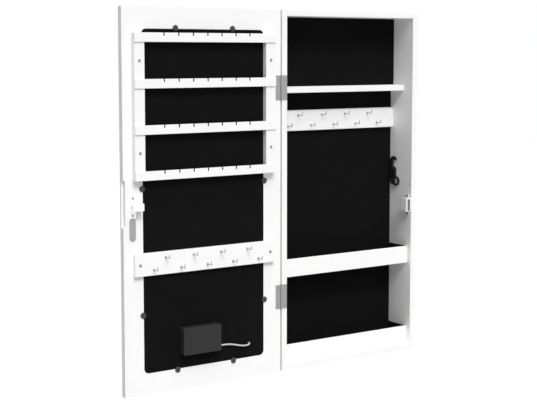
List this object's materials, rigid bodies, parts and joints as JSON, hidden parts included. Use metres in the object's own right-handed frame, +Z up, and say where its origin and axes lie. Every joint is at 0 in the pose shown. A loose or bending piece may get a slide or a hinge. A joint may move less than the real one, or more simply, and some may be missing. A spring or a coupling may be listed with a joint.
{
  "type": "wall jewelry cabinet",
  "caption": "Shallow wall cabinet for jewelry with a mirror door; inside, hook rails, notched bars, bins and a light fed by a battery box.",
  "frame": {"origin": "centre of the cabinet's flat rear face, on the wall plane", "axes": "+X to the viewer's right, +Y towards the wall, +Z up; the door rests swung open by 180 degrees to the left"},
  "size_m": [0.869, 0.123, 0.9],
  "materials": {
    "white_paint": "satin white lacquer on wood board",
    "raw_board": "board hidden behind black lining",
    "back_board": "thin board, plain on the wall side",
    "black_felt": "flocked black lining",
    "beech": "plain turned wood",
    "zinc_steel": "zinc plated",
    "bright_nickel": "bright plated",
    "zinc_cast": "die-cast, pale satin plated",
    "strike_steel": "satin plated",
    "black_cast": "black enamel",
    "catch_plastic": "white moulded",
    "catch_steel": "zinc plated",
    "ferrite": "sintered",
    "black_screw": "black oxide",
    "mirror": "silvered",
    "black_board": "flocked black board",
    "foam": "closed-cell foam",
    "light_tape": "flexible strip with small lamps",
    "black_plastic": "moulded",
    "clip_plastic": "moulded",
    "cell_wrap": "plain sleeve",
    "circuit_board": "resin board",
    "pale_cable": "flexible pale grey sleeve"
  },
  "bodies": {
    "cabinet": {"side_panel_left": "white_paint", "side_panel_right": "white_paint", "top_panel": "white_paint", "bottom_panel": "white_paint", "back_panel": "back_board", "hanging_rail": "raw_board", "rail_lining": "black_felt", "back_lining": "black_felt", "upper_shelf": "white_paint", "middle_shelf": "white_paint", "middle_fence": "white_paint", "bottom_fence": "white_paint", "middle_bin_lining": "black_felt", "bottom_bin_lining": "black_felt", "dowels": "beech", "hanger_plates": "zinc_steel", "hanger_screws": "zinc_steel", "inner_hook_rail": "white_paint", "inner_rail_hooks": "bright_nickel", "side_hook": "black_cast", "side_hook_screws": "black_screw", "catch_body": "catch_plastic", "catch_pole_plates": "catch_steel", "catch_magnet": "ferrite", "catch_screws": "black_screw", "hinge_leaves_cabinet": "zinc_steel", "hinge_pins": "zinc_steel", "hinge_screws_cabinet": "zinc_steel"},
    "door": {"door_frame": "white_paint", "door_hook_rail": "white_paint", "rack_rail_left": "white_paint", "rack_rail_right": "white_paint", "rack_bar_1": "white_paint", "rack_bar_2": "white_paint", "rack_bar_3": "white_paint", "rack_bar_4": "white_paint", "hinge_leaves_door": "zinc_steel", "hinge_screws_door": "zinc_steel", "lock_screws": "zinc_steel", "door_rail_screws": "zinc_steel", "door_rail_hooks": "bright_nickel", "lock_body": "zinc_cast", "strike_plate": "strike_steel", "strike_screws": "strike_steel", "rack_screws": "black_screw", "clip_screws": "black_screw", "mirror_glass": "mirror", "mirror_backing": "black_board", "mirror_spacer": "foam", "battery_pad": "foam", "light_strips": "light_tape", "battery_box": "black_plastic", "battery_cover": "black_plastic", "mirror_clips": "clip_plastic", "battery_cells": "cell_wrap", "light_driver_board": "circuit_board", "light_lead": "pale_cable"},
    "lock_cylinder": {"lock_cylinder": "bright_nickel"},
    "lock_bolt": {"lock_bolt": "bright_nickel"},
    "switch_slider": {"switch_slider": "black_plastic"}
  },
  "joints": [
    {"name": "door_swing", "type": "hinge", "parent": "cabinet", "child": "door", "pos_m": [-0.2185, -0.0945, 0], "axis": [0, 0, 1], "range_deg": [0, 180]},
    {"name": "lock_turn", "type": "hinge", "parent": "door", "child": "lock_cylinder", "pos_m": [-0.6215, -0.093, -0.006], "axis": [0, 1, 0], "range_deg": [0, 90]},
    {"name": "bolt_throw", "type": "slide", "parent": "door", "child": "lock_bolt", "axis": [-1, 0, 0], "range_m": [0, 0.007]},
    {"name": "switch_slide", "type": "slide", "parent": "door", "child": "switch_slider", "axis": [0, -1, 0], "range_m": [0, 0.004]}
  ],
  "couplings": [
    {"joint": "lock_turn", "follows": "bolt_throw", "rad_per_m": 224.4}
  ]
}
